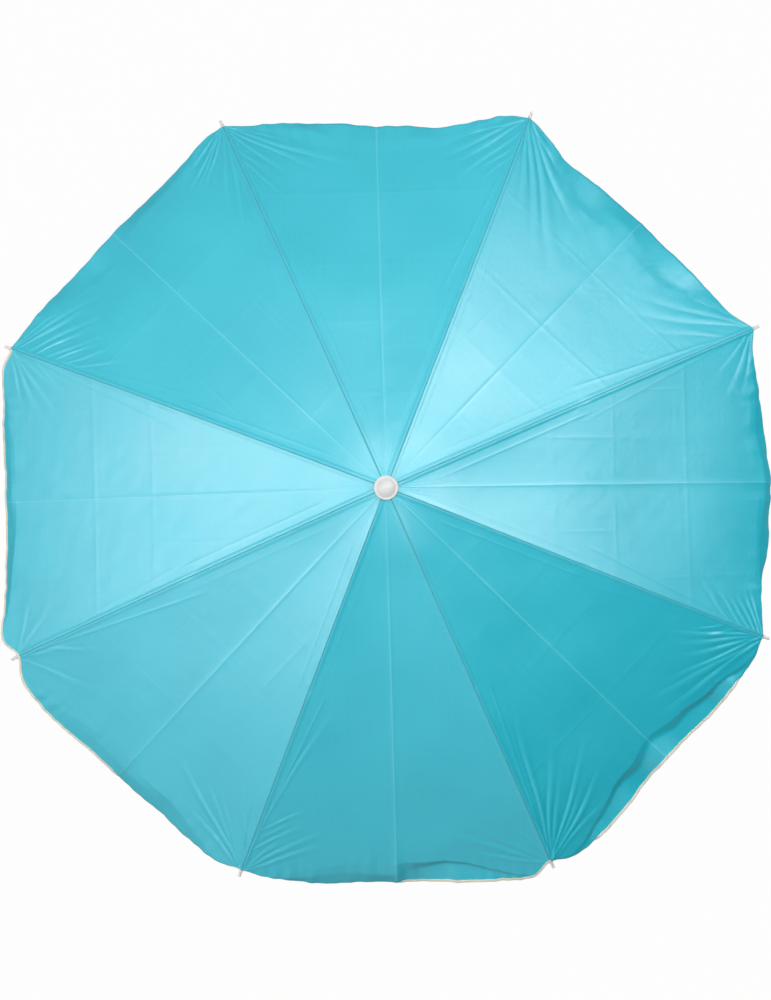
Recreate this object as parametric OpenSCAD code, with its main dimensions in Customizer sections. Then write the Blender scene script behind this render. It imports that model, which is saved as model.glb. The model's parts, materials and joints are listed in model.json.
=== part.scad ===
// Beach umbrella with eight ribs, a push-button tilt and a telescoping pole.
// Millimetres, +Z up. The origin is the tip of the ground spike, on the pole's axis.
// The canopy is drawn open and upright. Rib 1 lies half a panel round from +X.

/* [Canopy and ribs] */
// Length of a rib along its curve, from the hinge to the end of the wire
rib_len = 870; // [780:5:950]
// Diameter of a rib's wire
rib_d = 4; // [3:0.5:5]
// Slope of a rib below the horizontal where it leaves the hub, in degrees
rib_slope = 13; // [8:1:18]
// How much further down a rib turns by its end, in degrees
rib_turn = 14; // [10:1:18]
// Distance along the rib from its hinge to the stretcher bracket
bracket_at = 420; // [380:5:450]
// Distance of the bracket's rivet below the rib's centre line
rivet_drop = 9; // [8:0.5:12]
// Diameter of a stretcher's wire
stretcher_d = 4.5; // [3.5:0.5:5.5]
// Thickness of the canopy's cloth as a solid
cloth_t = 1; // [0.8:0.1:2]
// Height of the cloth's underside above a rib's centre line
cloth_lift = 4.3; // [4.2:0.1:6]
// How far the hem's middle stands out past a straight line between two corners
hem_bulge = 18; // [5:1:30]
// Length of a rib tip that stands out past the wire's end
tip_reach = 16; // [12:1:24]

/* [Hinges] */
// Radius of the wire rings that the ribs and the stretchers hinge on
hinge_r = 20; // [19:0.5:24]
// Diameter of those wire rings
ring_d = 2.4; // [2:0.2:3]
// Outside diameter of the eyes on ribs and stretchers
eye_d = 6.4; // [5.8:0.2:7.4]
// Thickness of a flattened eye
eye_t = 3; // [2.4:0.2:3.4]
// Diameter of the rivet in a rib bracket
rivet_d = 3; // [2.4:0.2:3.4]
// Thickness of a rib bracket's ears
ear_t = 1.2; // [1:0.1:1.6]

/* [Hub, runner and cap] */
// Diameter of the notched hub and of the runner's head
hub_d = 48; // [46:1:56]
// Height of the notched hub
hub_h = 12; // [10:1:16]
// Length of the runner's sleeve below its head
runner_sleeve = 38; // [30:1:55]
// Diameter of the crown cap
cap_d = 47; // [42:1:52]
// Height of the crown cap's dome above the cloth
cap_h = 11; // [8:1:18]

/* [Pole] */
// Height from the spike's tip to the tilt pivot
pivot_z = 985; // [960:5:1100]
// Height from the tilt pivot up to the rib hinges
upper_len = 940; // [935:5:1100]
// Outside diameter of the upper pole and the mast
mast_d = 22; // [20:0.5:22.4]
// Wall of the upper pole and the mast
mast_wall = 1; // [0.8:0.1:1.6]
// Outside diameter of the lower pole
lower_d = 25; // [24.8:0.1:28]
// Wall of the lower pole
lower_wall = 1; // [0.8:0.1:1.1]
// Height of the lower pole's top
lower_top = 850; // [780:5:860]
// Height of the mast's lower end inside the lower pole
mast_bottom = 540; // [400:5:560]
// Length of the guide bush on the mast's lower end
bush_len = 30; // [20:1:50]

/* [Ground spike] */
// Height of the spike's shoulder, where the lower pole sits on it
spike_h = 120; // [90:5:160]
// Length of the spike's plug inside the lower pole
plug_len = 50; // [30:1:80]

/* [Tilt knuckle] */
// Outside diameter of the knuckle's sockets
knuckle_d = 32; // [30:0.5:36]
// Thickness of the tongue between the fork's cheeks
tongue_t = 12; // [10:0.5:14]
// Thickness of each cheek of the fork
cheek_t = 7; // [6:0.5:9]
// Diameter of the pivot pin
pivot_d = 6; // [5:0.5:8]
// Diameter of the tilt button
button_d = 9; // [8:0.5:10]
// Travel of the tilt button
button_travel = 3.5; // [2.5:0.5:4]

/* [Clamp] */
// Outside diameter of the clamp collar
collar_d = 34; // [32:0.5:40]
// Length of the collar that grips the lower pole
collar_len = 34; // [28:1:45]
// Diameter of the clamp screw
screw_d = 8; // [6:0.5:8]
// Diameter of the clamp knob
knob_d = 36; // [30:1:44]
// Thickness of the clamp knob
knob_t = 14; // [10:1:20]

/* [Hidden] */
rib_count = 8;
step = 360 / rib_count;
half = step / 2;
run_gap = 0.06;        // radial clearance of a hinge pin or a button in its bore
free_gap = 0.3;        // clearance between pieces that move past each other
fit_gap = 0.1;         // clearance between pieces fixed to each other
round_fn = 96;
fine_fn = 48;
ARC_STEPS = 720;

// A rib's curve, in its own upright plane: x outward from the pole's axis, z up.
hub_z = pivot_z + upper_len;
rib_arc = rib_len / (rib_turn * PI / 180);
function slope(s) = rib_slope + s / rib_arc * 180 / PI;
function rib_x(s) = hinge_r + rib_arc * (sin(slope(s)) - sin(rib_slope));
function rib_z(s) = hub_z - rib_arc * (cos(rib_slope) - cos(slope(s)));

// The rivet, and the stretcher that mirrors the rib's inner length down to the runner.
rivet_x = rib_x(bracket_at) - rivet_drop * sin(slope(bracket_at));
rivet_z = rib_z(bracket_at) - rivet_drop * cos(slope(bracket_at));
runner_z = 2 * rivet_z - hub_z;
stretcher_len = norm([rivet_x - hinge_r, hub_z - rivet_z]);
stretcher_slope = atan2(hub_z - rivet_z, rivet_x - hinge_r);

rib_r = rib_d / 2;
ring_r = ring_d / 2;
bead = 0.5;            // how far a bead stands out past the ring's wire
eye_r = eye_d / 2;
hub_r = hub_d / 2;
mast_r = mast_d / 2;
mast_bore = mast_r - mast_wall;
lower_r = lower_d / 2;
lower_bore = lower_r - lower_wall;
knuckle_r = knuckle_d / 2;

// The hub's top stays under the cloth, which drops a little between two ribs.
cloth_under = hub_z + cloth_lift;
hub_drop = 1.9;        // from the cloth's underside down to the hub's top
hub_top = cloth_under - hub_drop;
eye_room = 1.2;        // room behind and below an eye in its slot
slot_w = max(rib_d, stretcher_d, eye_t) + 2 * free_gap;
slot_in = hinge_r - eye_r - eye_room;
head_drop = 9;         // from the runner's hinges down to the foot of its head
head_rise = 3;         // from the runner's hinges up to the top of its head
runner_bore = mast_r + free_gap;
runner_wall = 4;
sleeve_r = runner_bore + runner_wall;
flat_len = 12;         // half the length of the flattened wire at a stretcher's outer end

// The spring catch that holds the open runner up.
catch_w = 5;
catch_out = 4;         // how far the catch stands out of the pole
catch_h = 16;
catch_lip = 2;         // height of the catch's upright nose
catch_root = 0.5;      // how far inside the pole's skin the wedge's foot ends
catch_in = mast_bore - 4;
catch_top = runner_z - head_drop - runner_sleeve - free_gap;

// The tilt knuckle. Its pivot's axis is X, and the canopy leans towards +Y.
tongue_r = knuckle_r - 2;
fork_gap = 2.5;        // from the tongue's rim down to the floor of the fork
fork_floor = pivot_z - tongue_r - fork_gap;
fork_solid = button_d + 6;
socket_len = 32;
socket_z = pivot_z + knuckle_r + 4;
socket_floor = 2;      // thickness of the floor that the upper pole stands on
cheek_in = tongue_t / 2 + free_gap;
button_z = fork_floor - fork_solid / 2;
button_in = 5;         // how far past the pole's axis the button reaches
button_out = 0.8;      // how far the button stands out when it is pressed
bevel = 1;

// The lower pole's neck is drawn in a little, and the collar sits round it.
neck_step = 0.4;
collar_lip = 8;
boss_r = 8;
boss_out = 9;
screw_z = lower_top - collar_len / 2;
screw_in = mast_r + free_gap;

// Ring of straight wires, one per hinge, so that each eye turns on a true pin.
// A small bead closes each corner of the ring.
module wire_ring(r) {
    side = 2 * hinge_r * tan(half);
    for (k = [0:rib_count - 1]) rotate([0, 0, half + k * step]) translate([hinge_r, 0, 0]) {
        rotate([90, 0, 0]) cylinder(r = r, h = side, center = true, $fn = fine_fn);
        translate([0, side / 2, 0]) sphere(r = r + bead, $fn = fine_fn);
    }
}

// Slots for eyes and wires, open outward and from the floor up to the top of the cutter.
module slots(floor_z, height) {
    for (k = [0:rib_count - 1]) rotate([0, 0, half + k * step])
        translate([slot_in, -slot_w / 2, floor_z]) cube([hub_r, slot_w, height]);
}

module crown_hub() {
    color("white") difference() {
        translate([0, 0, hub_top - hub_h]) cylinder(r = hub_r, h = hub_h, $fn = round_fn);
        translate([0, 0, hub_top - 2 * hub_h])
            cylinder(r = mast_r + fit_gap, h = 3 * hub_h, $fn = round_fn);
        translate([0, 0, hub_z]) wire_ring(ring_r + fit_gap);
        slots(hub_top - 2 * hub_h, 3 * hub_h);
    }
}

module crown_wire() {
    color("silver") translate([0, 0, hub_z]) wire_ring(ring_r);
}

module runner() {
    head_h = head_rise + head_drop;
    grip_h = 5;
    grip_out = 2;
    color("white") translate([0, 0, runner_z]) difference() {
        union() {
            translate([0, 0, -head_drop]) cylinder(r = hub_r, h = head_h, $fn = round_fn);
            translate([0, 0, -head_drop - runner_sleeve]) {
                cylinder(r = sleeve_r, h = runner_sleeve, $fn = round_fn);
                cylinder(r = sleeve_r + grip_out, h = grip_h, $fn = round_fn);
            }
        }
        translate([0, 0, -2 * runner_sleeve])
            cylinder(r = runner_bore, h = 4 * runner_sleeve, $fn = round_fn);
        wire_ring(ring_r + fit_gap);
        slots(-eye_r - eye_room, 2 * head_h);
    }
}

module runner_wire() {
    color("silver") translate([0, 0, runner_z]) wire_ring(ring_r);
}

// A flattened eye across the rib's plane, and the bore that runs on a pin of radius pin_r.
module eye() {
    rotate([90, 0, 0]) cylinder(r = eye_r, h = eye_t, center = true, $fn = fine_fn);
}

module eye_bore(pin_r) {
    rotate([90, 0, 0]) cylinder(r = pin_r + run_gap, h = 4 * eye_t, center = true, $fn = fine_fn);
}

// Puts what is drawn in rib 1's upright plane at rib k.
module at_rib(k) {
    rotate([0, 0, half + (k - 1) * step]) children();
}

// Puts its children on the rib's curve, with +X along the wire and +Z away from the pole's foot.
module on_rib(s) {
    translate([rib_x(s), 0, rib_z(s)]) rotate([0, slope(s), 0]) children();
}

module rib_curve(from_s, to_s, r) {
    turn = (to_s - from_s) / rib_arc * 180 / PI;
    translate([hinge_r - rib_arc * sin(rib_slope), 0, hub_z - rib_arc * cos(rib_slope)])
        rotate([90, 0, 0]) rotate([0, 0, 90 - slope(to_s)])
            rotate_extrude(angle = turn, $fn = ARC_STEPS) translate([rib_arc, 0])
                circle(r = r, $fn = fine_fn / 2);
}

module rib(k) {
    color("silver") at_rib(k) difference() {
        union() {
            rib_curve(eye_r - rib_r / 2, rib_len, rib_r);
            translate([hinge_r, 0, hub_z]) eye();
        }
        translate([hinge_r, 0, hub_z]) eye_bore(ring_r);
    }
}

// Sleeve on the rib, two ears down to the rivet, and the rivet as a solid of its own.
module rib_bracket(k) {
    sleeve_len = 16;
    sleeve_wall = 1.6;
    ear_w = 7;
    ear_in = eye_t / 2 + free_gap;
    head_t = 0.9;
    head_out = 1;
    rivet_r = rivet_d / 2;
    color("gainsboro") at_rib(k) on_rib(bracket_at) difference() {
        union() {
            rotate([0, 90, 0])
                cylinder(r = rib_r + sleeve_wall, h = sleeve_len, center = true, $fn = fine_fn);
            for (side = [-1, 1]) translate([0, side * (ear_in + ear_t / 2), 0]) {
                translate([-ear_w / 2, -ear_t / 2, -rivet_drop]) cube([ear_w, ear_t, rivet_drop]);
                translate([0, 0, -rivet_drop]) rotate([90, 0, 0])
                    cylinder(r = ear_w / 2, h = ear_t, center = true, $fn = fine_fn);
            }
        }
        rotate([0, 90, 0]) cylinder(r = rib_r + fit_gap, h = 2 * sleeve_len, center = true, $fn = fine_fn);
        translate([0, 0, -rivet_drop]) rotate([90, 0, 0])
            cylinder(r = rivet_r + run_gap, h = sleeve_len, center = true, $fn = fine_fn);
    }
    color("silver") at_rib(k) on_rib(bracket_at) translate([0, 0, -rivet_drop]) rotate([90, 0, 0]) {
        cylinder(r = rivet_r, h = 2 * (ear_in + ear_t + fit_gap), center = true, $fn = fine_fn);
        for (side = [-1, 1]) translate([0, 0, side * (ear_in + ear_t + fit_gap + head_t / 2)])
            cylinder(r = rivet_r + head_out, h = head_t, center = true, $fn = fine_fn);
    }
}

module rib_tip(k) {
    sleeve_len = 14;
    sleeve_wall = 1.1;
    collar_wall = 1.7;
    collar_h = 2.4;
    pin_wall = 0.8;
    bulb_r = 3.4;
    bore_past = 0.5;
    color("white") at_rib(k) on_rib(rib_len) difference() {
        union() {
            rotate([0, 90, 0]) translate([0, 0, -sleeve_len])
                cylinder(r = rib_r + sleeve_wall, h = sleeve_len, $fn = fine_fn);
            rotate([0, 90, 0]) cylinder(r = rib_r + collar_wall, h = collar_h, $fn = fine_fn);
            rotate([0, 90, 0]) cylinder(r = rib_r + pin_wall, h = tip_reach - bulb_r, $fn = fine_fn);
            translate([tip_reach - bulb_r, 0, 0]) sphere(r = bulb_r, $fn = fine_fn);
        }
        rotate([0, 90, 0]) translate([0, 0, -2 * sleeve_len])
            cylinder(r = rib_r + fit_gap, h = 2 * sleeve_len + bore_past, $fn = fine_fn);
    }
}

// Drawn along +X from the rivet's end to the runner's, then turned onto its slope.
module stretcher(k) {
    neck = eye_r - stretcher_d / 4;
    color("silver") at_rib(k) translate([hinge_r, 0, runner_z]) rotate([0, -stretcher_slope, 0])
    difference() {
        union() {
            translate([neck, 0, 0]) rotate([0, 90, 0])
                cylinder(r = stretcher_d / 2, h = stretcher_len - 2 * neck, $fn = fine_fn / 2);
            eye();
            translate([stretcher_len, 0, 0]) eye();
        }
        eye_bore(ring_r);
        translate([stretcher_len, 0, 0]) eye_bore(rivet_d / 2);
        // The round wire is flattened where it runs between the bracket's ears.
        for (side = [-1, 1]) translate([stretcher_len - flat_len, side * (eye_t / 2 + eye_d), 0])
            cube([2 * flat_len, 2 * eye_d, 2 * eye_d], center = true);
    }
}

// Cloth: a grid from the crown to the hem, and from one panel's middle line to the next.
// It lies flat from the crown's hole out to the hinges, and follows the ribs from there.
ROWS = 13;
COLS = 5;
crown_s = -7;
corner_s = rib_len - 2;
function hem_s(t) = corner_s + hem_bulge / cos(half) * (1 - (1 - t) * (1 - t));
function cloth_x(s) = s < 0 ? hinge_r + s : rib_x(s);
function cloth_z(s) = s < 0 ? hub_z : rib_z(s);
function cloth_point(s, t, up) =
    let (x = cloth_x(s), w = t * (x * sin(half) - free_gap / 2))
    [x - abs(w) * sin(half), w * cos(half), cloth_z(s) + cloth_lift + up];
function row_s(i, t) = i == 0 ? crown_s : hem_s(abs(t)) * (i - 1) / (ROWS - 1);
function cloth_grid(up) = [for (i = [0:ROWS]) for (j = [-COLS:COLS])
    cloth_point(row_s(i, j / COLS), j / COLS, up)];

module canopy(k) {
    wide = 2 * COLS + 1;
    count = (ROWS + 1) * wide;
    last = ROWS * wide;
    top = [for (i = [0:ROWS - 1]) for (j = [0:wide - 2]) let (a = i * wide + j)
        for (f = [[a, a + 1, a + wide + 1], [a, a + wide + 1, a + wide]]) f];
    bottom = [for (f = top) [f[2] + count, f[1] + count, f[0] + count]];
    inner = [for (j = [0:wide - 2])
        for (f = [[j, j + count, j + 1 + count], [j, j + 1 + count, j + 1]]) f];
    outer = [for (j = [last:last + wide - 2])
        for (f = [[j, j + 1 + count, j + count], [j, j + 1, j + 1 + count]]) f];
    left = [for (i = [0:ROWS - 1]) let (a = i * wide)
        for (f = [[a, a + wide + count, a + count], [a, a + wide, a + wide + count]]) f];
    right = [for (i = [0:ROWS - 1]) let (a = (i + 1) * wide - 1)
        for (f = [[a, a + count, a + wide + count], [a, a + wide + count, a + wide]]) f];
    color("turquoise") at_rib(k) polyhedron(
        points = concat(cloth_grid(cloth_t), cloth_grid(0)),
        faces = concat(top, bottom, inner, outer, left, right));
}

module crown_cap() {
    base_z = cloth_under + cloth_t + fit_gap;
    rim_h = 3.2;
    step_r = cap_d / 2 * 0.8;
    edge = 1.2;
    dome_r = step_r - edge;
    stem_len = 14;
    dome_rise = cap_h - rim_h - edge;
    ball_r = (dome_r * dome_r + dome_rise * dome_rise) / (2 * dome_rise);
    color("white") {
        translate([0, 0, base_z]) rotate_extrude($fn = round_fn) polygon([
            [0, 0], [cap_d / 2 - edge / 2, 0], [cap_d / 2, edge / 2], [cap_d / 2, rim_h - edge],
            [cap_d / 2 - edge, rim_h], [step_r, rim_h], [step_r, rim_h + edge / 2],
            [dome_r, rim_h + edge], [0, rim_h + edge]]);
        intersection() {
            translate([0, 0, base_z + rim_h + edge + dome_rise - ball_r])
                sphere(r = ball_r, $fn = round_fn);
            translate([0, 0, base_z + rim_h]) cylinder(r = dome_r, h = cap_h, $fn = round_fn);
        }
        translate([0, 0, base_z - stem_len])
            cylinder(r = mast_bore - fit_gap, h = stem_len, $fn = round_fn);
    }
}

module tube(r, bore, bottom, top) {
    difference() {
        translate([0, 0, bottom]) cylinder(r = r, h = top - bottom, $fn = round_fn);
        translate([0, 0, bottom - 1]) cylinder(r = bore, h = top - bottom + 2, $fn = round_fn);
    }
}

// The runner catch: a wedge that stands out of a slot just under the open runner.
module runner_catch() {
    leaf_t = 0.8;
    leaf_len = 40;
    color("silver") {
        translate([0, catch_w / 2, 0]) rotate([90, 0, 0]) linear_extrude(height = catch_w) polygon([
            [catch_in, catch_top], [mast_r + catch_out, catch_top],
            [mast_r + catch_out, catch_top - catch_lip],
            [mast_r - catch_root, catch_top - catch_h], [catch_in, catch_top - catch_h]]);
        translate([catch_in - leaf_t, -catch_w / 2, catch_top - leaf_len])
            cube([leaf_t, catch_w, leaf_len]);
    }
}

module upper_pole() {
    slot = catch_w + 2 * free_gap;
    past_hub = 0.5;
    color("white") difference() {
        tube(mast_r, mast_bore, socket_z + socket_floor, hub_top + past_hub);
        translate([0, -slot / 2, catch_top - catch_h - free_gap])
            cube([mast_d, slot, catch_h + 2 * free_gap]);
    }
}

module tilt_fork() {
    floor_z = fork_floor - fork_solid;
    color("white") difference() {
        union() {
            translate([0, 0, floor_z - socket_len])
                cylinder(r = knuckle_r, h = socket_len + fork_solid, $fn = round_fn);
            intersection() {
                union() {
                    translate([-knuckle_d, -knuckle_r, fork_floor - 1])
                        cube([2 * knuckle_d, knuckle_d, pivot_z - fork_floor + 1]);
                    translate([0, 0, pivot_z]) rotate([0, 90, 0])
                        cylinder(r = knuckle_r, h = 2 * knuckle_d, center = true, $fn = round_fn);
                }
                translate([-cheek_in - cheek_t, -knuckle_d, floor_z])
                    cube([2 * (cheek_in + cheek_t), 2 * knuckle_d, 3 * knuckle_d]);
            }
        }
        translate([-cheek_in, -knuckle_d, fork_floor]) cube([2 * cheek_in, 2 * knuckle_d, 3 * knuckle_d]);
        translate([0, 0, floor_z - 2 * socket_len])
            cylinder(r = mast_r + fit_gap, h = 2 * socket_len, $fn = round_fn);
        translate([0, 0, pivot_z]) rotate([0, 90, 0])
            cylinder(r = pivot_d / 2 + run_gap, h = 4 * knuckle_d, center = true, $fn = fine_fn);
        translate([0, button_in - button_travel - free_gap, button_z]) rotate([90, 0, 0])
            translate([0, 0, -button_in])
                cylinder(r = button_d / 2 + run_gap, h = 2 * knuckle_d, $fn = fine_fn);
    }
}

module tilt_button() {
    button_len = knuckle_r + button_travel + button_out - button_in;
    color("gray") translate([0, -button_in, button_z]) rotate([90, 0, 0]) {
        cylinder(r = button_d / 2, h = button_len - bevel, $fn = fine_fn);
        translate([0, 0, button_len - bevel])
            cylinder(r1 = button_d / 2, r2 = button_d / 2 - bevel, h = bevel, $fn = fine_fn);
    }
}

module tilt_head() {
    color("white") difference() {
        union() {
            translate([0, 0, pivot_z]) rotate([0, 90, 0])
                cylinder(r = tongue_r, h = tongue_t, center = true, $fn = round_fn);
            translate([-tongue_t / 2, -tongue_r, pivot_z])
                cube([tongue_t, 2 * tongue_r, socket_z - pivot_z]);
            translate([0, 0, socket_z - bevel]) cylinder(r = knuckle_r, h = socket_len, $fn = round_fn);
        }
        translate([0, 0, socket_z + socket_floor - fit_gap])
            cylinder(r = mast_r + fit_gap, h = 2 * socket_len, $fn = round_fn);
        translate([0, 0, pivot_z]) rotate([0, 90, 0])
            cylinder(r = pivot_d / 2 + run_gap, h = 4 * knuckle_d, center = true, $fn = fine_fn);
    }
}

module tilt_pin() {
    head_t = 2;
    head_out = 2;
    span = cheek_in + cheek_t + fit_gap;
    color("silver") translate([0, 0, pivot_z]) rotate([0, 90, 0]) {
        cylinder(r = pivot_d / 2, h = 2 * span, center = true, $fn = fine_fn);
        for (side = [-1, 1]) translate([0, 0, side * (span + head_t / 2)])
            cylinder(r = pivot_d / 2 + head_out, h = head_t, center = true, $fn = fine_fn);
    }
}

module mast_tube() {
    color("white") tube(mast_r, mast_bore, mast_bottom, fork_floor - fork_solid - fit_gap);
}

// Bush on the mast's foot: a plug inside the mast and a ring that runs in the lower pole.
module mast_bush() {
    flange_h = 4;
    color("dimgray") {
        translate([0, 0, mast_bottom - flange_h])
            cylinder(r = lower_bore - fit_gap, h = flange_h - fit_gap, $fn = round_fn);
        translate([0, 0, mast_bottom - flange_h / 2])
            cylinder(r = mast_bore - fit_gap, h = bush_len, $fn = round_fn);
    }
}

module lower_pole() {
    color("white") difference() {
        union() {
            tube(lower_r, lower_bore, spike_h, lower_top - collar_len);
            tube(lower_r - neck_step, lower_bore, lower_top - collar_len - 1, lower_top);
        }
        translate([0, 0, screw_z]) rotate([0, 90, 0])
            cylinder(r = screw_d / 2 + free_gap, h = lower_d, $fn = fine_fn);
    }
}

module clamp_collar() {
    collar_r = collar_d / 2;
    color("white") difference() {
        union() {
            translate([0, 0, lower_top - collar_len])
                cylinder(r = collar_r, h = collar_len + collar_lip, $fn = round_fn);
            translate([0, 0, screw_z]) rotate([0, 90, 0])
                cylinder(r = boss_r, h = collar_r + boss_out, $fn = round_fn);
        }
        translate([0, 0, lower_top - 2 * collar_len])
            cylinder(r = lower_r - neck_step + fit_gap, h = 2 * collar_len + fit_gap, $fn = round_fn);
        translate([0, 0, lower_top - 1])
            cylinder(r = mast_r + free_gap, h = 2 * collar_lip, $fn = round_fn);
        translate([0, 0, screw_z]) rotate([0, 90, 0])
            cylinder(r = screw_d / 2 + run_gap, h = 2 * collar_d, $fn = fine_fn);
    }
}

module clamp_knob() {
    lobes = 6;
    notch_r = 5;
    face_x = collar_d / 2 + boss_out + free_gap;
    color("white") translate([0, 0, screw_z]) rotate([0, 90, 0]) {
        translate([0, 0, screw_in]) cylinder(r = screw_d / 2, h = face_x - screw_in + 1, $fn = fine_fn);
        translate([0, 0, face_x]) difference() {
            cylinder(r = knob_d / 2, h = knob_t, $fn = round_fn);
            for (k = [0:lobes - 1]) rotate([0, 0, k * 360 / lobes])
                translate([knob_d / 2 + notch_r / 2, 0, -1])
                    cylinder(r = notch_r, h = knob_t + 2, $fn = fine_fn);
        }
    }
}

module ground_spike() {
    shoulder = 16;
    flare = 8;
    tip_r = 1.6;
    tip_h = 1.5;
    body_r = 9.5;
    seat_r = lower_r - fit_gap;
    plug_r = lower_bore - fit_gap;
    color("gray") rotate_extrude($fn = round_fn) polygon([
        [0, 0], [tip_r, tip_h], [body_r, spike_h - shoulder - flare], [seat_r, spike_h - shoulder],
        [seat_r, spike_h], [plug_r, spike_h], [plug_r, spike_h + plug_len], [0, spike_h + plug_len]]);
}

ground_spike();
lower_pole();
clamp_collar();
clamp_knob();
mast_tube();
mast_bush();
tilt_fork();
tilt_pin();
tilt_button();
tilt_head();
upper_pole();
crown_hub();
crown_wire();
crown_cap();
runner_catch();
runner();
runner_wire();
for (k = [1:rib_count]) {
    rib(k);
    rib_bracket(k);
    rib_tip(k);
    stretcher(k);
    canopy(k);
}
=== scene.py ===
# %% [markdown]
# # A beach umbrella, seen from straight above
# The construction comes in as a fixed frame: pole, knuckle, hub, ribs, stretchers and runner
# already stand where they belong. This lesson adds what the frame can't hold, which is the sewn
# cloth with its seams, creases and hem, and a finish for every surface.

# %% Load the frame
import json
import math
import bpy
import numpy as np
from mathutils import Matrix, Vector


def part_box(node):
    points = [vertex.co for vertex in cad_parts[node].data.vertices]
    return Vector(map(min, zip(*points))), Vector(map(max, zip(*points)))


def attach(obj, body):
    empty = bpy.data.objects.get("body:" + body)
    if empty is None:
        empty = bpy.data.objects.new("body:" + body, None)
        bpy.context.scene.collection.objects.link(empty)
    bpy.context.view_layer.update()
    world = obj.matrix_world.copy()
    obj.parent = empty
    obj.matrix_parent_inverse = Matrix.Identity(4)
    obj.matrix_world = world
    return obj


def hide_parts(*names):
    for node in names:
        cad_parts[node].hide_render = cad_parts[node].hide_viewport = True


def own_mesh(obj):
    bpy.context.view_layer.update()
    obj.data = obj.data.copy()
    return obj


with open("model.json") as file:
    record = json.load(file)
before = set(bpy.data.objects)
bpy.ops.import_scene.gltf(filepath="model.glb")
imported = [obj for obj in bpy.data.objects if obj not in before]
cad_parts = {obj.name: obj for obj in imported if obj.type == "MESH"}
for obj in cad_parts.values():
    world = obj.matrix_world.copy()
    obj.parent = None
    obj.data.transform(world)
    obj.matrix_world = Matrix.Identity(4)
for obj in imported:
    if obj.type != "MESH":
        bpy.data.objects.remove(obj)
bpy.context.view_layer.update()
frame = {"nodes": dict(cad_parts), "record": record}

JOINTS = {j["name"]: j for j in frame["record"]["behaviour"]["joints"]}

# %% [markdown]
# ## The rib's curve
# Each rib is one length of springy wire that leaves the hub at a shallow slope and turns down
# towards its tip. The cloth takes its shape from that curve, so it comes first. The hinge's place
# is read from the frame, and the curve is the arc that the wire was bent to.

# %% Rib curve and panel layout
RIBS = 8
STEP = 2 * math.pi / RIBS
HALF = STEP / 2
MM = 0.001
HINGE = JOINTS["fold"]["pos_m"]
HINGE_R = math.hypot(HINGE[0], HINGE[1])
HUB_Z = HINGE[2]
RIB_LEN = 0.870
RIB_SLOPE = math.radians(13)
RIB_TURN = math.radians(14)
RIB_ARC = RIB_LEN / RIB_TURN
BRACKET_AT = 0.420
CLOTH_LIFT = 4.3 * MM
CLOTH_T = 0.6 * MM


def slope_at(s):
    return RIB_SLOPE + np.maximum(s, 0) / RIB_ARC


def rib_x(s):
    arc = HINGE_R + RIB_ARC * (np.sin(slope_at(s)) - math.sin(RIB_SLOPE))
    return np.where(s < 0, HINGE_R + s, arc)


def rib_z(s):
    return HUB_Z - RIB_ARC * (math.cos(RIB_SLOPE) - np.cos(slope_at(s)))


TIP_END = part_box("rib_tip_1")[1]
print("rib ends at radius %.3f m" % rib_x(np.array(RIB_LEN)))
print("box of the first tip ends at x %.3f m" % TIP_END[0])

# %% [markdown]
# ## Cloth in panels
# A real canopy is eight gores sewn edge to edge along the ribs. Each gore hangs between two ribs:
# tight from tip to tip, with folds running out of both corners, a packing crease down its middle,
# and a free strip outside the line from tip to tip, which hangs and flutters. The mesh is made
# from a formula for that shape, so it comes out the same every time. No cloth simulation was
# tried, so how one would compare isn't known.
#
# Numbers that differ from gore to gore are kept in one place, from the clockwise corner to the
# other. `edge` is how far the outline stands outside the straight line from tip to tip, at nine
# places 5 degrees apart, and `strip` is the free strip's width, both in millimetres. The pairs
# hold one number for each half, in degrees: `drop` is how steeply the strip falls just outside
# the tight line, `hang` how it goes on from there, and `curl` how far its edge is rolled under.
# `flat`, where a gore has one, is how far from the middle its edge lies flat before it rolls, as a
# share of the half. In the other gores `curl` holds along the whole edge. The `edge` numbers were
# fitted to the outline of one canopy, together with the camera's, and the rest were set by trial.

# %% Panel habits
PANELS = [
    dict(edge=(0, 2, 20, 26, 32, 23, 16, 7, -3), strip=46,
         drop=(8, 6), hang=(26, 20), curl=(120, 120)),
    dict(edge=(-9, -6, -3, -1, 2, 1, -5, -12, 0), strip=84,
         drop=(4, 5), hang=(4, 5), curl=(120, 120)),
    dict(edge=(7, -4, -15, -8, -8, -1, 2, 4, -1), strip=66,
         drop=(-3, -3), hang=(3, 2), curl=(120, 120)),
    dict(edge=(10, 8, 10, 14, 16, 12, 13, 12, 4), strip=60,
         drop=(3, 8), hang=(12, 8), curl=(120, 120)),
    dict(edge=(18, 21, 24, 22, 22, 23, 26, 29, 32), strip=36,
         drop=(8, 32), hang=(22, 24), curl=(0, 0)),
    dict(edge=(27, 46, 48, 42, 41, 38, 34, 32, 18), strip=52,
         drop=(6, 14), hang=(8, 14), curl=(0, 60)),
    dict(edge=(13, 28, 38, 36, 38, 38, 41, 40, 30), strip=58,
         drop=(6, 44), hang=(14, 6), curl=(110, 0)),
    dict(edge=(24, 42, 42, 35, 30, 34, 38, 29, 16), strip=66,
         drop=(36, 36), hang=(-8, -8), curl=(110, 110), flat=0.62),
]
EDGE_AT = np.tan(np.radians(np.arange(-20, 21, 5))) / math.tan(HALF)
CURL_ALL_ALONG = -1
CORNER_S = RIB_LEN - 2 * MM
CROWN_S = -7 * MM
RNG_SEED = 41


def smooth(x):
    x = np.clip(x, 0, 1)
    return x * x * (3 - 2 * x)


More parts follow.
